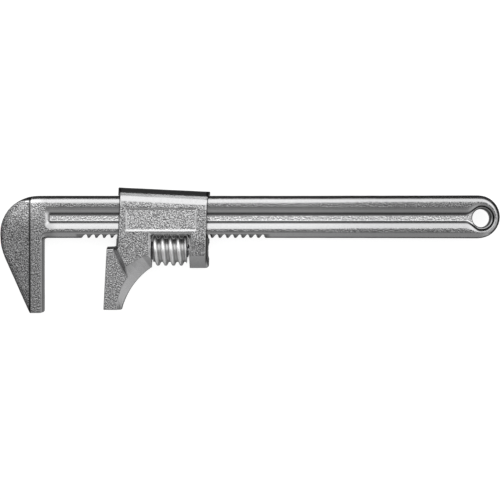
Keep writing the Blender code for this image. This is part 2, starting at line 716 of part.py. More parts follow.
def build_axle(carriage, material):
    head_end = SLIDE_RIGHT_X - AXLE_HEAD_SUNK
    head_start = head_end - AXLE_HEAD_LENGTH
    profile = [
        (WINDOW_LEFT_X - AXLE_TIP_LENGTH, AXLE_TIP_RADIUS - CLEARANCE),
        (WINDOW_LEFT_X - AXLE_TIP_LENGTH + CLEARANCE, AXLE_TIP_RADIUS),
        (WINDOW_LEFT_X - CLEARANCE, AXLE_TIP_RADIUS),
        (WINDOW_LEFT_X + OVERCUT, AXLE_RADIUS),
        (head_start, AXLE_RADIUS),
        (head_start, AXLE_HEAD_RADIUS),
        (head_end - CLEARANCE, AXLE_HEAD_RADIUS),
        (head_end, AXLE_HEAD_RADIUS - CLEARANCE),
    ]
    rings = turned(profile, WORM_Y)
    axle = mesh_object("worm_axle_screw", *ring_stack(rings), carriage, SLIDE_ORIGIN)
    axle.data.materials.append(material)
    half_slot = AXLE_SLOT_WIDTH / 2
    slot = box_rings(
        head_end - AXLE_SLOT_DEPTH, head_end + OVERCUT,
        WORM_Y - half_slot, WORM_Y + half_slot, (-2 * AXLE_HEAD_RADIUS, 2 * AXLE_HEAD_RADIUS))
    boolean(axle, mesh_object("axle_slot_cutter", *ring_stack(slot), carriage, SLIDE_ORIGIN))
    return axle


def build_spring(carriage, material):
    """Coil between the worm and the handle-side wall of its window, round the axle."""
    start = WORM_END_X - SPRING_POCKET_DEPTH + CLEARANCE + SPRING_WIRE / 2
    end = WINDOW_RIGHT_X - CLEARANCE - SPRING_WIRE / 2
    count = SPRING_TURNS * SPRING_POINTS_PER_TURN + 1
    curve = bpy.data.curves.new("worm_spring", "CURVE")
    curve.dimensions = "3D"
    curve.bevel_depth = SPRING_WIRE / 2
    curve.bevel_resolution = 1
    curve.use_fill_caps = True
    spline = curve.splines.new("POLY")
    spline.points.add(count - 1)
    for step in range(count):
        share = step / (count - 1)
        angle = 2 * pi * SPRING_TURNS * share
        x = start + (end - start) * share
        local = Vector((x, WORM_Y + SPRING_RADIUS * cos(angle), SPRING_RADIUS * sin(angle))) - SLIDE_ORIGIN
        spline.points[step].co = (*local, 1.0)
    spring = bpy.data.objects.new("worm_spring", curve)
    spring.parent = carriage
    bpy.context.collection.objects.link(spring)
    spring.data.materials.append(material)
    return spring


def build():
    remove_everything()
    root = empty("wrench", (0, 0, SLIDE_HALF_THICKNESS))
    carriage = empty("slide_and_worm_axis", SLIDE_ORIGIN, root)
    forged = metal("forged_steel", (0.56, 0.57, 0.58), 0.42)
    bright = metal("machined_steel", (0.68, 0.68, 0.68), 0.25)
    build_handle(root, forged)
    build_slide(carriage, forged)
    build_worm(carriage, bright)
    build_axle(carriage, bright)
    build_spring(carriage, metal("spring_steel", (0.45, 0.46, 0.48), 0.35))


build()
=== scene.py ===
"""Looks of the adjustable wrench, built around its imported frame.

The two forgings take their shape from the frame's own solids. Each is given a fine even mesh, softened
edges, a slightly uneven skin and the pebbled grain of a plated forging. The worm, its axle screw and its
spring are made here at a finer resolution than the frame's. Lengths are in metres, in the frame's axes:
+X runs from the jaws to the hang hole, the jaws point to -Y, and +Z is up through the thickness.
"""

from math import cos, pi, radians, sin, sqrt, tan

import bmesh
import bpy
import numpy as np
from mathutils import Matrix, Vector, noise


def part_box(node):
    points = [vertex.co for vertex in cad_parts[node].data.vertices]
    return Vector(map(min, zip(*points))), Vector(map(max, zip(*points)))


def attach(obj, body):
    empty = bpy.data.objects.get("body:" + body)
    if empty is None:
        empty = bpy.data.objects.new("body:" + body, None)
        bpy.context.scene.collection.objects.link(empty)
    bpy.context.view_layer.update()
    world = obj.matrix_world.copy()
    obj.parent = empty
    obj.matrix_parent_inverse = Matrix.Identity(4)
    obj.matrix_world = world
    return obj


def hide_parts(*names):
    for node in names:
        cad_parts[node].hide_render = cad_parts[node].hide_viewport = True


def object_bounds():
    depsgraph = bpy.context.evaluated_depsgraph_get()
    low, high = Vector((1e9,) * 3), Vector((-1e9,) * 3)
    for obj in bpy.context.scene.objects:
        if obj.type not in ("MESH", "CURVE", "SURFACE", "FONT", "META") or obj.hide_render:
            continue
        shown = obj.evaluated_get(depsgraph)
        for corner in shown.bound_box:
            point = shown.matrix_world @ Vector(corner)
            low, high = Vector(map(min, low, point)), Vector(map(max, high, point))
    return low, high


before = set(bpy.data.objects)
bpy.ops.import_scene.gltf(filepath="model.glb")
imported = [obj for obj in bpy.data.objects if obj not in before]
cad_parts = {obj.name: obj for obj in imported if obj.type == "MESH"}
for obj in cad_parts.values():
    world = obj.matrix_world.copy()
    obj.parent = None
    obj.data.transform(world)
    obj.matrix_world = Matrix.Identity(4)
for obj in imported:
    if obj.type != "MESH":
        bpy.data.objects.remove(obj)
cad_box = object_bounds()

MM = 0.001
CLEARANCE = 0.3 * MM

# The frame's own measures
HANDLE_LOW, HANDLE_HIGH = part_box("handle_with_fixed_jaw")
SLIDE_LOW, SLIDE_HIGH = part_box("sliding_jaw")
WORM_LOW, WORM_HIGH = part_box("adjusting_worm")
AXLE_LOW, AXLE_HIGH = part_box("worm_axle_screw")
SPRING_LOW, SPRING_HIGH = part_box("worm_spring")
MIDDLE_Z = (SLIDE_LOW.z + SLIDE_HIGH.z) / 2

# Forgings
HANDLE_VOXEL = 0.59 * MM
SLIDE_VOXEL = 0.47 * MM
HEAD_RADIUS = 29.2 * MM
HEEL_RADIUS = 44.8 * MM
JAW_BACK_ANGLE = radians(24.8)
GRIP_STEP = 0.3 * MM
CREASE_X = HANDLE_LOW.x + 23.3 * MM
CREASE_WIDTH = 1.1 * MM
CREASE_DEPTH = 1.1 * MM
RECESS_START_X = -152.0 * MM
RECESS_Y = 24.4 * MM
RECESS_REACH = 12.0 * MM
HANG_HOLE = (176.2 * MM, 24.3 * MM)
UNEVEN_HEIGHT = 0.05 * MM
UNEVEN_LENGTH = 9.0 * MM
PEBBLE_HEIGHT = 0.02 * MM
PEBBLE_LENGTH = 1.7 * MM

PANEL_X = (-94.2 * MM, -40.4 * MM)
PANEL_Y = (14.2 * MM, 31.9 * MM)
PANEL_WALL = 1.2 * MM
LEFT_LEAN = 0.042
RIGHT_LEAN = 0.016

# Spans over which grain and tone change. Those in X and Y are places, those of height are measured from
# the middle of the thickness, and those of flatness are the upright share of the surface's normal.
RECESS_FADE = 1.5 * MM
FLOOR_HEIGHT = (4.8 * MM, 5.4 * MM)
FLOOR_FLATNESS = (0.93, 0.98)
HANDLE_FLATNESS = (0.988, 0.9985)
HEAD_GRAIN_X = (-158 * MM, -150 * MM)
GRIP_GRAIN_X = (20 * MM, 100 * MM)
JAW_X = (-152 * MM, -146 * MM)
JAW_Y = (12 * MM, 30 * MM)
HEAD_TOP_X = (-168 * MM, -155 * MM)
HEAD_TOP_Y = (18 * MM, 38 * MM)
CREST_FLATNESS = (0.985, 0.998)
CREASE_FADE = (0.5 * MM, 0.9 * MM)
RIM_FADE = (-0.5 * MM, 4.5 * MM)
FOOT_LOW_HEIGHT = (4.65 * MM, 5.0 * MM)
FOOT_HIGH_HEIGHT = (6.4 * MM, 7.0 * MM)
HOLE_RIM_RADIUS = (7.6 * MM, 8.3 * MM)
RACK_Y = (11.9 * MM, 12.4 * MM)
RACK_START_X = (-133 * MM, -131 * MM)
RACK_END_X = (13 * MM, 16 * MM)
TEETH_FLATNESS = (0.85, 0.97)
GRIP_TONE_X = (20 * MM, 120 * MM)
SLIDE_FLATNESS = (0.985, 0.997)
PANEL_HEIGHT = (11.0 * MM, 11.2 * MM)
LEG_X = (-47 * MM, -44 * MM)
LEG_Y = (4 * MM, 12 * MM)
LEG_FLATNESS = (0.9, 0.97)
LEFT_END_X = (-100.6 * MM, -99.3 * MM)
LEFT_END_Y = (2.4 * MM, 3.4 * MM)
RIGHT_END_X = (-34.2 * MM, -33.5 * MM)
RIGHT_END_Y = (-12 * MM, -8 * MM)
RIGHT_END_FLATNESS = (0.7, 0.9)
BACK_Y = (-12 * MM, -4 * MM)
BACK_FLATNESS = (0.93, 0.98)

# Grain left on smooth surfaces, and how much more easily each place counts as flat
LEAST_GRAIN = 0.08
FLOOR_LESS_GRAIN = 0.5
FACET_ALLOWANCE = 0.03
HEAD_ALLOWANCE = 0.008
GRIP_ALLOWANCE = 0.012

# Tone: shares added to 1, then shares taken away
FLOOR_LIGHTER = 0.65
# Painted highlight on the top of the head
HEAD_TOP_PAINTED_LIGHT = 0.65
# Painted shade over the fixed jaw, the lower part of the head
JAW_PAINTED_SHADE = 0.25
CREST_DARKER = 0.25
GRIP_DARKER = 0.18
PANEL_LIGHTER = 0.3
LEG_DARKER = 0.25
# Painted shade: shares by which the crease, the head's rim, the feet of the recess walls, the hang hole's
# rim, the gaps between rack teeth, the sleeve's ends and the jaw's back are darkened
CREASE_PAINTED_SHADE = 0.7
RIM_PAINTED_SHADE = 0.68
FOOT_PAINTED_SHADE = 0.65
HOLE_PAINTED_SHADE = 0.7
TEETH_PAINTED_SHADE = 0.45
SLEEVE_END_PAINTED_SHADE = 0.78
BACK_PAINTED_SHADE = 0.18

# Worm
PITCH = 5.9 * MM
WORM_AXIS_Y = (WORM_LOW.y + WORM_HIGH.y) / 2
WORM_RADIUS = (WORM_HIGH.y - WORM_LOW.y) / 2
THREAD_START_X = WORM_LOW.x + 1.1 * MM
THREAD_DEPTH = 2.9 * MM
THREAD_CREST = 1.5 * MM
THREAD_FLANK_RUN = 0.48
THREAD_ROUNDING = 0.16 * MM
CREST_X = -126.2 * MM
HUB_RADIUS = 7.0 * MM
END_BEVEL = 0.8 * MM
BORE_RADIUS = 3.3 * MM
SPRING_POCKET_RADIUS = 5.6 * MM
SPRING_POCKET_DEPTH = 6.0 * MM
WORM_STATIONS = 200
WORM_SEGMENTS = 160
# Painted shade in the worm's thread roots: the roots' tone, and the spans over which it rises to full
# towards the crests
ROOT_PAINTED_SHADE = 0.55
ROOT_TONE_RISE = 0.3 * MM
CREST_TONE_DROP = 1.3 * MM

# Axle screw
AXLE_RADIUS = 3.0 * MM
AXLE_TIP_RADIUS = 2.5 * MM
AXLE_TIP_LENGTH = 10.0 * MM
AXLE_HEAD_RADIUS = 5.0 * MM
AXLE_HEAD_LENGTH = 3.4 * MM
AXLE_SLOT_WIDTH = 1.2 * MM
AXLE_SLOT_DEPTH = 1.5 * MM
AXLE_SEGMENTS = 96
SHARP_EDGE = 0.6

# Worm spring
SPRING_WIRE = 1.0 * MM
SPRING_TURNS = 4
SPRING_STEPS_PER_TURN = 48
SPRING_WIRE_SEGMENTS = 16

# Camera
CAMERA_LENS = 100.0
CAMERA_SENSOR = 36.0
CAMERA_DISTANCE = 1.0615

# Floor, just below the uneven skin of the forgings
FLOOR_GAP = 0.1 * MM
FLOOR_REACH = 3.0

# Softbox: the (y, z) of its two long edges
SOFTBOX_LOW = (0.06, 0.50)
SOFTBOX_HIGH = (0.75, 0.28)
SOFTBOX_HALF_WIDTH = 0.9
SOFTBOX_POWER = 4.4


# ---------------------------------------------------------------- mesh helpers

def smooth_step(values, low, high):
    """0 below low, 1 above high and a smooth rise between them, for an array."""
    share = np.clip((values - low) / (high - low), 0, 1)
    return share * share * (3 - 2 * share)


def mesh_piece(name, mesh, node, body, material):
    """A shown piece that stands for a frame node."""
    piece = bpy.data.objects.new(name, mesh)
    bpy.context.scene.collection.objects.link(piece)
    mesh.materials.clear()
    mesh.materials.append(material)
    mesh.shade_smooth()
    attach(piece, body)
    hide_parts(node)


def coordinates(mesh):
    values = np.empty(len(mesh.vertices) * 3)
    mesh.vertices.foreach_get("co", values)
    return values.reshape(-1, 3)


def normals(mesh):
    values = np.empty(len(mesh.vertices) * 3)
    mesh.vertices.foreach_get("normal", values)
    return values.reshape(-1, 3)


def move_to(mesh, points):
    mesh.vertices.foreach_set("co", points.ravel())
    mesh.update()


def neighbour_mean(points, edges):
    """For each point, the mean of the points that an edge joins it to."""
    count = np.bincount(edges.ravel(), minlength=len(points))
    mean = np.empty_like(points)
    for axis in range(points.shape[1]):
        ends = points[:, axis]
        total = np.bincount(edges[:, 0], weights=ends[edges[:, 1]], minlength=len(points))
        total += np.bincount(edges[:, 1], weights=ends[edges[:, 0]], minlength=len(points))
        mean[:, axis] = total / count
    return mean


def edge_ends(mesh):
    values = np.empty(len(mesh.edges) * 2, dtype=np.int32)
    mesh.edges.foreach_get("vertices", values)
    return values.reshape(-1, 2)


def soften(mesh, passes):
    """Round off the mesh's edges a little without shrinking it."""
    points = coordinates(mesh)
    edges = edge_ends(mesh)
    for step in range(passes):
        for share in (0.5, -0.52):
            points += share * (neighbour_mean(points, edges) - points)
    move_to(mesh, points)


def set_attribute(mesh, name, values):
    attribute = mesh.attributes.new(name, "FLOAT", "POINT")
    attribute.data.foreach_set("value", values.astype(np.float32))


def noise_field(points, length):
    """Smooth noise from about -1 to 1 at each point, with bumps about that long."""
    return np.array([noise.fractal(Vector(point) / length, 1.0, 2.0, 1) for point in points])


# ---------------------------------------------------------------- forgings

def even_mesh(node, voxel):
    """The node's surface as a fine even mesh."""
    bm = bmesh.new()
    bm.from_mesh(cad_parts[node].data)
    bmesh.ops.remove_doubles(bm, verts=bm.verts, dist=0.001 * MM)
    welded = bpy.data.meshes.new(node + "_welded")
    bm.to_mesh(welded)
    bm.free()
    holder = bpy.data.objects.new(node + "_holder", welded)
    bpy.context.scene.collection.objects.link(holder)
    modifier = holder.modifiers.new("even_mesh", "REMESH")
    modifier.mode = "VOXEL"
    modifier.voxel_size = voxel
    depsgraph = bpy.context.evaluated_depsgraph_get()
    mesh = bpy.data.meshes.new_from_object(holder.evaluated_get(depsgraph))
    bpy.data.objects.remove(holder)
    bpy.data.meshes.remove(welded)
    return mesh


def cut_crease(mesh):
    """A narrow forged valley along the crease of the head, on both sides."""
    bm = bmesh.new()
    bm.from_mesh(mesh)
    for offset in (-CREASE_WIDTH / 2, 0, CREASE_WIDTH / 2):
        near = [
            face for face in bm.faces
            if abs(face.calc_center_median().x - CREASE_X) < 2 * CREASE_WIDTH
        ]
        parts = set(near)
        for face in near:
            parts.update(face.verts)
            parts.update(face.edges)
        bmesh.ops.bisect_plane(
            bm, geom=list(parts), plane_co=(CREASE_X + offset, 0, 0), plane_no=(1, 0, 0))
    bm.normal_update()
    for vertex in bm.verts:
        away = abs(vertex.co.x - CREASE_X) / (CREASE_WIDTH / 2)
        if away < 1 and abs(vertex.normal.z) > 0.6:
            vertex.co.z -= CREASE_DEPTH * (1 - away) * (1 if vertex.normal.z > 0 else -1)
    bm.to_mesh(mesh)
    bm.free()


def pebble(mesh, grain):
    """Slight unevenness everywhere, and fine pebbling where the skin is grainy."""
    points = coordinates(mesh)
    along = normals(mesh)
    uneven = UNEVEN_HEIGHT * noise_field(points, UNEVEN_LENGTH)
    pebbled = PEBBLE_HEIGHT * noise_field(points, PEBBLE_LENGTH) * grain
    move_to(mesh, points + along * (uneven + pebbled)[:, None])


def recess_floor(points, flatness):
    """1 on the flat floor of the bar's recesses."""
    above = np.abs(points[:, 2] - MIDDLE_Z)
    along_bar = smooth_step(points[:, 0], RECESS_START_X - RECESS_FADE, RECESS_START_X)
    return along_bar * smooth_step(flatness, *FLOOR_FLATNESS) * (1 - smooth_step(above, *FLOOR_HEIGHT))


def handle_grain(points, flatness):
    """Pebbled on the flats and the head's facets, smooth on the rounded ridges, rougher on the grip."""
    x = points[:, 0]
    facet = 1 - smooth_step(x, CREASE_X - CREASE_WIDTH, CREASE_X)
    head = 1 - smooth_step(x, *HEAD_GRAIN_X)
    grip = smooth_step(x, *GRIP_GRAIN_X)
    level = flatness + FACET_ALLOWANCE * facet + HEAD_ALLOWANCE * head + GRIP_ALLOWANCE * grip
    flat = smooth_step(level, *HANDLE_FLATNESS)
    grain = LEAST_GRAIN + (1 - LEAST_GRAIN) * flat
    return grain * (1 - FLOOR_LESS_GRAIN * recess_floor(points, flatness))


def to_head_rim(points):
    """How far each point stands in from the outer contour of the head, in plan."""
    centre = np.array([HANDLE_LOW.x + HEAD_RADIUS, HANDLE_HIGH.y - GRIP_STEP - HEAD_RADIUS])
    heel_centre = np.array([HANDLE_LOW.x + HEEL_RADIUS, centre[1]])
    upper = HEAD_RADIUS - np.linalg.norm(points[:, :2] - centre, axis=1)
    from_heel = points[:, :2] - heel_centre
    on_arc = HEEL_RADIUS - np.linalg.norm(from_heel, axis=1)
    on_line = HEEL_RADIUS + from_heel @ np.array([cos(JAW_BACK_ANGLE), sin(JAW_BACK_ANGLE)])
    past_arc = -from_heel[:, 1] > -from_heel[:, 0] * tan(JAW_BACK_ANGLE)
    return np.where(from_heel[:, 1] > 0, upper, np.where(past_arc, on_line, on_arc))


def handle_tone_and_painted_light(points, flatness):
    """Light recess floors; a painted highlight on the top of the head and painted shade over the fixed
    jaw; painted shade in the corners: beside the floors, in the crease, round the head's rim, at the hang
    hole and between rack teeth."""
    x = points[:, 0]
    y = points[:, 1]
    above = np.abs(points[:, 2] - MIDDLE_Z)
    floor = recess_floor(points, flatness)
    bar = smooth_step(x, *JAW_X)
    # Painted shade: the fixed jaw below the bar is made darker, as the part away from the light
    jaw = (1 - smooth_step(y, *JAW_Y)) * (1 - bar)
    # Painted highlight: the top of the head is made lighter, as light falling from +Y would make it
    top_painted_light = smooth_step(y, *HEAD_TOP_Y) * (1 - smooth_step(x, *HEAD_TOP_X))
    crest = smooth_step(flatness, *CREST_FLATNESS) * bar * (1 - floor)
    # Painted shade in the crease
    crease = 1 - smooth_step(np.abs(x - CREASE_X), *CREASE_FADE)
    # Painted shade round the head's rim, where its edge turns away from the light
    rim = 1 - smooth_step(to_head_rim(points), *RIM_FADE)
    rim *= 1 - smooth_step(x, CREASE_X, CREASE_X + CREASE_WIDTH)
    # Painted shade at the feet of the recess walls, beside the floors
    foot_shade = smooth_step(above, *FOOT_LOW_HEIGHT) * (1 - smooth_step(above, *FOOT_HIGH_HEIGHT))
    foot_shade *= smooth_step(x, RECESS_START_X - RECESS_FADE, RECESS_START_X)
    foot_shade *= np.abs(y - RECESS_Y) < RECESS_REACH
    # Painted shade in a ring round the hang hole
    to_hole = np.hypot(x - HANG_HOLE[0], y - HANG_HOLE[1])
    hole = 1 - smooth_step(to_hole, *HOLE_RIM_RADIUS)
    # Painted shade between the rack teeth
    shade_between_teeth = (1 - smooth_step(y, *RACK_Y)) * (1 - smooth_step(flatness, *TEETH_FLATNESS))
    shade_between_teeth *= smooth_step(x, *RACK_START_X) * (1 - smooth_step(x, *RACK_END_X))
    tone = 1 + FLOOR_LIGHTER * floor - JAW_PAINTED_SHADE * jaw + HEAD_TOP_PAINTED_LIGHT * top_painted_light
    tone -= CREST_DARKER * crest + GRIP_DARKER * smooth_step(x, *GRIP_TONE_X)
    # Painted shade: each of these darkens the tone by its share
    corners = (
        (crease, CREASE_PAINTED_SHADE), (rim, RIM_PAINTED_SHADE), (foot_shade, FOOT_PAINTED_SHADE), (hole, HOLE_PAINTED_SHADE),
        (shade_between_teeth, TEETH_PAINTED_SHADE),
    )
    for dark, share in corners:
        tone = tone * (1 - share * dark)
    return tone


def slide_grain(_, flatness):
    """Pebbled on the flats, wherever they are."""
    return LEAST_GRAIN + (1 - LEAST_GRAIN) * smooth_step(flatness, *SLIDE_FLATNESS)


def slide_tone_and_painted_shade(points, flatness):
    """Light sunk panel and dark leg beside the window; painted shade on the ends of the sleeve and on the
    back of the jaw.
    """
    x = points[:, 0]
    y = points[:, 1]
    panel = smooth_step(np.abs(points[:, 2] - MIDDLE_Z), *PANEL_HEIGHT)
    for place, (low, high) in ((x, PANEL_X), (y, PANEL_Y)):
        panel *= smooth_step(place, low, low + PANEL_WALL)
        panel *= 1 - smooth_step(place, high - PANEL_WALL, high)
    leg = smooth_step(x, *LEG_X) * (1 - smooth_step(y, *LEG_Y)) * smooth_step(flatness, *LEG_FLATNESS)
    # Painted shade on both ends of the sleeve, the faces turned away from the light
    left_end_shade = (1 - smooth_step(x - LEFT_LEAN * y, *LEFT_END_X)) * smooth_step(y, *LEFT_END_Y)
    right_end_shade = smooth_step(x - RIGHT_LEAN * y, *RIGHT_END_X) * smooth_step(y, *RIGHT_END_Y)
    right_end_shade *= 1 - smooth_step(flatness, *RIGHT_END_FLATNESS)
    # Painted shade on the steep faces of the jaw's back, which face away from the light
    back = (1 - smooth_step(y, *BACK_Y)) * (1 - smooth_step(flatness, *BACK_FLATNESS))
    tone = 1 + PANEL_LIGHTER * panel - LEG_DARKER * leg
    return tone * (1 - SLEEVE_END_PAINTED_SHADE * (left_end_shade + right_end_shade)) * (1 - BACK_PAINTED_SHADE * back)


def forging(name, node, body, material, voxel, passes, skin, detail=None):
    """skin holds two functions of the points and their flatness: the grain and the tone, which carries
    painted light and shade.
    """
    mesh = even_mesh(node, voxel)
    soften(mesh, passes)
    if detail:
        detail(mesh)
    flatness = np.abs(normals(mesh)[:, 2])
    points = coordinates(mesh)
    grain_of, tone_of = skin
    grain = grain_of(points, flatness)
    set_attribute(mesh, "grain", grain)
    set_attribute(mesh, "tone", tone_of(points, flatness))
    pebble(mesh, grain)
    mesh_piece(name, mesh, node, body, material)


# ---------------------------------------------------------------- turned pieces

def closed_turn(name, rings, loop):
    """A mesh through rings of equally many points; loop joins the last ring to the first."""
    count = len(rings[0])
    points = [point for ring in rings for point in ring]
    faces = []
    for level in range(len(rings) if loop else len(rings) - 1):
        low = level * count
        high = (level + 1) % len(rings) * count
        for here in range(count):
            after = (here + 1) % count
            faces.append((low + here, high + here, high + after, low + after))
    if not loop:
        faces.append(tuple(range(count)))
        faces.append(tuple(reversed(range(len(points) - count, len(points)))))
    mesh = bpy.data.meshes.new(name)
    mesh.from_pydata(points, [], faces)
    bm = bmesh.new()
    bm.from_mesh(mesh)
    bmesh.ops.recalc_face_normals(bm, faces=bm.faces)
    bm.to_mesh(mesh)
    bm.free()
    return mesh


def circle(x, radius, segments=WORM_SEGMENTS):
    """Points round the worm's axis at x; radius is a number or a function of the angle."""
    ring = []
    for step in range(segments):
        angle = 2 * pi * step / segments
        reach = radius(angle) if callable(radius) else radius
        ring.append((x, WORM_AXIS_Y + reach * cos(angle), MIDDLE_Z + reach * sin(angle)))
    return ring


def thread_radius(x, angle):
    """Radius of the worm's thread, with rounded crests and roots."""
    along = (x - CREST_X - PITCH * angle / (2 * pi)) % PITCH
    from_crest = min(along, PITCH - along)
    run = THREAD_FLANK_RUN * THREAD_DEPTH
    share = (from_crest - THREAD_CREST / 2) / run
    blend = THREAD_ROUNDING / run
    rise = soft_ramp(share, blend)
    return WORM_RADIUS - THREAD_DEPTH * rise


def soft_ramp(share, blend):
    """0 up to share 0 and 1 from share 1, straight between them, with corners rounded over blend."""
    low = soft_positive(share, blend)
    high = soft_positive(share - 1, blend)
    return low - high


def soft_positive(value, blend):
    return (value + sqrt(value * value + blend * blend)) / 2


def build_worm(material):
    left = THREAD_START_X
    right = WORM_HIGH.x
    rings = [circle(WORM_LOW.x, HUB_RADIUS - CLEARANCE), circle(WORM_LOW.x + CLEARANCE, HUB_RADIUS)]
    rings.append(circle(left - 0.1 * MM, HUB_RADIUS))
    for station in range(WORM_STATIONS + 1):
        x = left + (right - left) * station / WORM_STATIONS
        to_end = min(x - left, right - x)
        limit = WORM_RADIUS - max(0.0, END_BEVEL - to_end)
        rings.append(circle(x, lambda angle: min(limit, thread_radius(x, angle))))
    pocket = right - SPRING_POCKET_DEPTH
    rings.append(circle(right, SPRING_POCKET_RADIUS + CLEARANCE))
    rings.append(circle(right - CLEARANCE, SPRING_POCKET_RADIUS))
    rings.append(circle(pocket, SPRING_POCKET_RADIUS))
    rings.append(circle(pocket, BORE_RADIUS))
    rings.append(circle(WORM_LOW.x, BORE_RADIUS))
    mesh = closed_turn("worm", rings, loop=True)
    points = coordinates(mesh)
    reach = np.hypot(points[:, 1] - WORM_AXIS_Y, points[:, 2] - MIDDLE_Z)
    root = WORM_RADIUS - THREAD_DEPTH
    # Painted shade: darker in the thread roots, full tone towards the crests
    lit = smooth_step(reach, root + ROOT_TONE_RISE, WORM_RADIUS - CREST_TONE_DROP)
    set_attribute(mesh, "tone", ROOT_PAINTED_SHADE + (1 - ROOT_PAINTED_SHADE) * lit)
    mesh_piece("thumb_worm", mesh, "adjusting_worm", "worm", material)


def build_axle(material):
    """The axle screw: a reduced tip, a plain shank and a slotted cheese head."""
    tip_end = AXLE_LOW.x + AXLE_TIP_LENGTH
    head = AXLE_HIGH.x - AXLE_HEAD_LENGTH
    profile = [
        (AXLE_LOW.x, AXLE_TIP_RADIUS - CLEARANCE), (AXLE_LOW.x + CLEARANCE, AXLE_TIP_RADIUS),
        (tip_end, AXLE_TIP_RADIUS), (tip_end + 2 * MM, AXLE_RADIUS), (head, AXLE_RADIUS),
        (head, AXLE_HEAD_RADIUS - CLEARANCE), (head + CLEARANCE, AXLE_HEAD_RADIUS),
        (AXLE_HIGH.x - CLEARANCE, AXLE_HEAD_RADIUS), (AXLE_HIGH.x, AXLE_HEAD_RADIUS - CLEARANCE),
    ]
    rings = [circle(x, radius, AXLE_SEGMENTS) for x, radius in profile]
    whole = bpy.data.objects.new("axle_blank", closed_turn("axle_blank", rings, loop=False))
    half = AXLE_SLOT_WIDTH / 2
    slot_rings = []
    for x in (AXLE_HIGH.x - AXLE_SLOT_DEPTH, AXLE_HIGH.x + AXLE_SLOT_DEPTH):
        corners = [(-half, -2 * AXLE_HEAD_RADIUS), (half, -2 * AXLE_HEAD_RADIUS)]
        corners += [(half, 2 * AXLE_HEAD_RADIUS), (-half, 2 * AXLE_HEAD_RADIUS)]
        slot_rings.append([(x, WORM_AXIS_Y + y, MIDDLE_Z + z) for y, z in corners])
    cutter = bpy.data.objects.new("axle_slot", closed_turn("axle_slot", slot_rings, loop=False))
    for item in (whole, cutter):
        bpy.context.scene.collection.objects.link(item)
    modifier = whole.modifiers.new("slot", "BOOLEAN")
    modifier.operation = "DIFFERENCE"
    modifier.solver = "EXACT"
    modifier.object = cutter
    depsgraph = bpy.context.evaluated_depsgraph_get()
    mesh = bpy.data.meshes.new_from_object(whole.evaluated_get(depsgraph))
    bpy.data.objects.remove(whole)
    bpy.data.objects.remove(cutter)
    mesh_piece("axle_screw", mesh, "worm_axle_screw", "sliding_jaw", material)
    mesh.set_sharp_from_angle(angle=SHARP_EDGE)


def build_spring(material):
    """Round wire swept along a helix."""
    coil_radius = (SPRING_HIGH.y - SPRING_LOW.y) / 2 - SPRING_WIRE / 2
    start = SPRING_LOW.x + SPRING_WIRE / 2
    end = SPRING_HIGH.x - SPRING_WIRE / 2
    steps = SPRING_TURNS * SPRING_STEPS_PER_TURN
    rings = []
    for step in range(steps + 1):
        share = step / steps
        angle = 2 * pi * SPRING_TURNS * share
        out = Vector((0, cos(angle), sin(angle)))
        centre = Vector((start + (end - start) * share, WORM_AXIS_Y, MIDDLE_Z)) + out * coil_radius
        ring = []
        for around in range(SPRING_WIRE_SEGMENTS):
            turn = 2 * pi * around / SPRING_WIRE_SEGMENTS
            ring.append(centre + SPRING_WIRE / 2 * (out * cos(turn) - Vector((1, 0, 0)) * sin(turn)))
        rings.append(ring)
    mesh = closed_turn("spring", rings, loop=False)
    mesh_piece("coil_spring", mesh, "worm_spring", "sliding_jaw", material)


# ---------------------------------------------------------------- materials

def add(tree, kind, options=(), **values):
    """Add a node. options are (property, value) pairs; values go to inputs named in plain words, with
    _ for a space, or in_0, in_1 by place, and each is a number, a colour or the socket that feeds it."""
    node = tree.nodes.new(kind)
    for name, value in options:
        setattr(node, name, value)
    for name, value in values.items():
        key = int(name[3:]) if name.startswith("in_") else name.replace("_", " ")
        if isinstance(value, bpy.types.NodeSocket):
            tree.links.new(value, node.inputs[key])
        else:
            node.inputs[key].default_value = value
    return node


def math(tree, operation, first, second=0.0, third=0.0):
    return add(
        tree, "ShaderNodeMath", [("operation", operation)], in_0=first, in_1=second, in_2=third
    ).outputs[0]


def new_material(name):
    material = bpy.data.materials.new(name)
    material.use_nodes = True
    return material, material.node_tree, material.node_tree.nodes["Principled BSDF"]


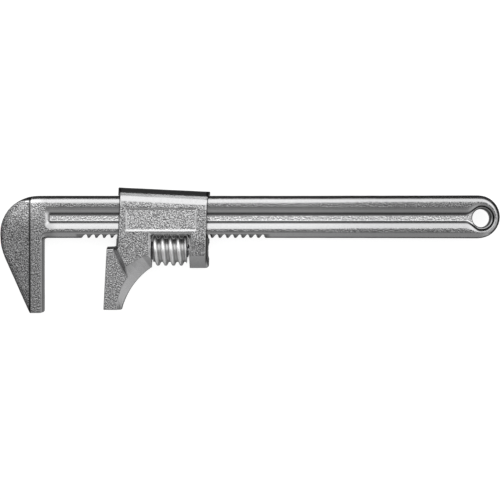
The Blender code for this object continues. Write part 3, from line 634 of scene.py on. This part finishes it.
def forged_skin(name):
    """Plated forging: pebbled where the grain attribute is high, satin where it is low."""
    material, tree, shader = new_material(name)
    place = add(tree, "ShaderNodeTexCoord").outputs["Object"]
    grain = add(tree, "ShaderNodeAttribute", [("attribute_name", "grain")]).outputs["Fac"]
    pebbles = add(
        tree, "ShaderNodeTexNoise", Vector=place, Scale=1200.0, Detail=2.0, Roughness=0.6).outputs["Fac"]
    pits = add(
        tree, "ShaderNodeTexVoronoi", [("feature", "SMOOTH_F1")],
        Vector=place, Scale=800.0, Smoothness=0.6).outputs["Distance"]
    height = math(tree, "MULTIPLY_ADD", pits, 0.5, pebbles)
    cloud = add(tree, "ShaderNodeTexNoise", Vector=place, Scale=45.0, Detail=3.0).outputs["Fac"]
    bump = add(tree, "ShaderNodeBump", Strength=grain, Distance=0.5 * MM, Height=height)
    ramp = add(tree, "ShaderNodeValToRGB", Fac=pebbles)
    ramp.color_ramp.elements[0].position = 0.38
    ramp.color_ramp.elements[0].color = (0.08, 0.08, 0.082, 1)
    ramp.color_ramp.elements[1].position = 0.62
    ramp.color_ramp.elements[1].color = (0.66, 0.66, 0.665, 1)
    mix = add(tree, "ShaderNodeMix", [("data_type", "RGBA")], Factor=grain)
    mix.inputs["A"].default_value = (0.6, 0.6, 0.605, 1)
    tree.links.new(ramp.outputs["Color"], mix.inputs["B"])
    # The tone attribute scales the colour, and with it the painted light and shade it carries
    tone = add(tree, "ShaderNodeAttribute", [("attribute_name", "tone")]).outputs["Fac"]
    toned = add(tree, "ShaderNodeVectorMath", [("operation", "SCALE")], Scale=tone)
    tree.links.new(mix.outputs["Result"], toned.inputs[0])
    rough = math(tree, "MULTIPLY_ADD", cloud, 0.08, 0.18)
    shader.inputs["Metallic"].default_value = 1.0
    tree.links.new(toned.outputs[0], shader.inputs["Base Color"])
    tree.links.new(rough, shader.inputs["Roughness"])
    tree.links.new(bump.outputs["Normal"], shader.inputs["Normal"])
    return material


def turned_steel(name, colour, roughness, toned=False):
    """Machined steel with fine rings round the axis it was turned on; toned follows the tone attribute,
    which on the worm holds painted shade in the thread roots.
    """
    material, tree, shader = new_material(name)
    place = add(tree, "ShaderNodeTexCoord").outputs["Object"]
    stretched = add(tree, "ShaderNodeMapping", Vector=place, Scale=(4200.0, 300.0, 300.0)).outputs[0]
    rings = add(tree, "ShaderNodeTexNoise", Vector=stretched, Scale=1.0, Detail=2.0).outputs["Fac"]
    bump = add(tree, "ShaderNodeBump", Strength=0.25, Distance=0.05 * MM, Height=rings)
    shader.inputs["Base Color"].default_value = (*colour, 1)
    if toned:
        tone = add(tree, "ShaderNodeAttribute", [("attribute_name", "tone")]).outputs["Fac"]
        scaled = add(tree, "ShaderNodeVectorMath", [("operation", "SCALE")], in_0=colour, Scale=tone)
        tree.links.new(scaled.outputs[0], shader.inputs["Base Color"])
    shader.inputs["Metallic"].default_value = 1.0
    tree.links.new(math(tree, "MULTIPLY_ADD", rings, 0.12, roughness), shader.inputs["Roughness"])
    tree.links.new(bump.outputs["Normal"], shader.inputs["Normal"])
    return material


# ---------------------------------------------------------------- studio

def softbox(name, low, high, half_width, power):
    """A rectangle of light that faces the wrench; low and high are the (y, z) of its two long edges."""
    middle = Vector((0, (low[0] + high[0]) / 2, (low[1] + high[1]) / 2))
    light = bpy.data.lights.new(name, "AREA")
    light.shape = "RECTANGLE"
    light.size = 2 * half_width
    light.size_y = (Vector(high) - Vector(low)).length
    light.energy = power
    item = bpy.data.objects.new(name, light)
    item.location = middle
    across = Vector((0, high[0] - low[0], high[1] - low[1])).normalized()
    facing = Vector((1, 0, 0)).cross(across)
    if facing.dot(middle) < 0:
        facing = -facing
    item.rotation_mode = "QUATERNION"
    item.rotation_quaternion = facing.to_track_quat("Z", "Y")
    item.visible_camera = False
    bpy.context.scene.collection.objects.link(item)


def build_studio():
    scene = bpy.context.scene
    floor_mesh = bpy.data.meshes.new("floor")
    corners = [(-1, -1), (1, -1), (1, 1), (-1, 1)]
    floor_mesh.from_pydata([(x * FLOOR_REACH, y * FLOOR_REACH, 0) for x, y in corners], [], [(0, 1, 2, 3)])
    floor = bpy.data.objects.new("floor", floor_mesh)
    floor.location.z = cad_box[0].z - FLOOR_GAP
    scene.collection.objects.link(floor)
    material, tree, shader = new_material("pale_floor")
    shader.inputs["Base Color"].default_value = (0.3, 0.3, 0.3, 1)
    shader.inputs["Roughness"].default_value = 1.0
    shader.inputs["Specular IOR Level"].default_value = 0.0
    shader.inputs["Emission Color"].default_value = (1, 1, 1, 1)
    # The floor's glow is dimmed by ambient occlusion where it is nearly enclosed, as in the slit between
    # worm and rack: a painted shadow
    openness = add(
        tree, "ShaderNodeAmbientOcclusion", [("samples", 8), ("only_local", False)],
        Distance=12.0 * MM).outputs["AO"]
    glow = add(
        tree, "ShaderNodeMapRange", [("interpolation_type", "SMOOTHSTEP")],
        Value=openness, From_Min=0.08, From_Max=0.28, To_Min=0.05, To_Max=0.9).outputs[0]
    tree.links.new(glow, shader.inputs["Emission Strength"])
    floor_mesh.materials.append(material)
    floor.visible_glossy = False
    floor.visible_diffuse = False

    softbox("main_softbox", SOFTBOX_LOW, SOFTBOX_HIGH, SOFTBOX_HALF_WIDTH, SOFTBOX_POWER)
    build_world(scene)

    camera = bpy.data.objects.new("camera", bpy.data.cameras.new("camera"))
    camera.data.lens = CAMERA_LENS
    camera.data.sensor_width = CAMERA_SENSOR
    camera.location = (0, 0, MIDDLE_Z + CAMERA_DISTANCE)
    scene.collection.objects.link(camera)
    scene.camera = camera
    scene.view_settings.view_transform = "Standard"


def build_world(scene):
    """Grey studio: dark below the horizon, mid grey above it, brighter to the +X side and darker
    straight overhead, with a faint glow from the floor straight below."""
    world = bpy.data.worlds.new("studio")
    world.use_nodes = True
    tree = world.node_tree
    background = tree.nodes["Background"]
    direction = add(tree, "ShaderNodeTexCoord").outputs["Generated"]
    parts = add(tree, "ShaderNodeSeparateXYZ", Vector=direction).outputs
    behind = math(tree, "MAXIMUM", parts["Y"], 0.0)
    before_jaws = math(tree, "MAXIMUM", math(tree, "MULTIPLY", parts["X"], -1.0), 0.0)
    lowered = math(tree, "MULTIPLY_ADD", behind, -0.4, parts["Z"])
    lowered = math(tree, "MULTIPLY_ADD", before_jaws, -0.35, lowered)
    in_front = math(tree, "MAXIMUM", math(tree, "MULTIPLY", parts["Y"], -1.0), 0.0)
    lowered = math(tree, "MULTIPLY_ADD", in_front, 0.7, lowered)
    above = add(
        tree, "ShaderNodeMapRange", [("interpolation_type", "SMOOTHSTEP")],
        Value=lowered, From_Min=-0.05, From_Max=0.12, To_Min=0.04, To_Max=0.42).outputs[0]
    side = add(
        tree, "ShaderNodeMapRange", [("interpolation_type", "SMOOTHSTEP")],
        Value=parts["X"], From_Min=0.1, From_Max=0.9, To_Min=1.0, To_Max=2.0).outputs[0]
    overhead = add(
        tree, "ShaderNodeMapRange", [("interpolation_type", "SMOOTHSTEP")],
        Value=parts["Z"], From_Min=0.75, From_Max=0.97, To_Min=1.0, To_Max=0.45).outputs[0]
    floor_glow = add(
        tree, "ShaderNodeMapRange", [("interpolation_type", "SMOOTHSTEP")],
        Value=parts["Z"], From_Min=-0.97, From_Max=-0.7, To_Min=0.2, To_Max=0.0).outputs[0]
    strength = math(tree, "MULTIPLY", math(tree, "MULTIPLY", above, side), overhead)
    strength = math(tree, "ADD", strength, floor_glow)
    tree.links.new(strength, background.inputs["Strength"])
    background.inputs["Color"].default_value = (1, 1, 1, 1)
    scene.world = world


# ---------------------------------------------------------------- the wrench

def build():
    skin = forged_skin("plated_forging")
    forging(
        "forged_handle", "handle_with_fixed_jaw", "handle", skin,
        HANDLE_VOXEL, 6, (handle_grain, handle_tone_and_painted_light), cut_crease)
    forging(
        "forged_sliding_jaw", "sliding_jaw", "sliding_jaw", skin,
        SLIDE_VOXEL, 4, (slide_grain, slide_tone_and_painted_shade))
    build_worm(turned_steel("turned_worm_steel", (0.95, 0.95, 0.95), 0.36, toned=True))
    build_axle(turned_steel("turned_screw_steel", (0.5, 0.5, 0.51), 0.3))
    build_spring(turned_steel("spring_wire", (0.4, 0.41, 0.43), 0.35))
    build_studio()


build()
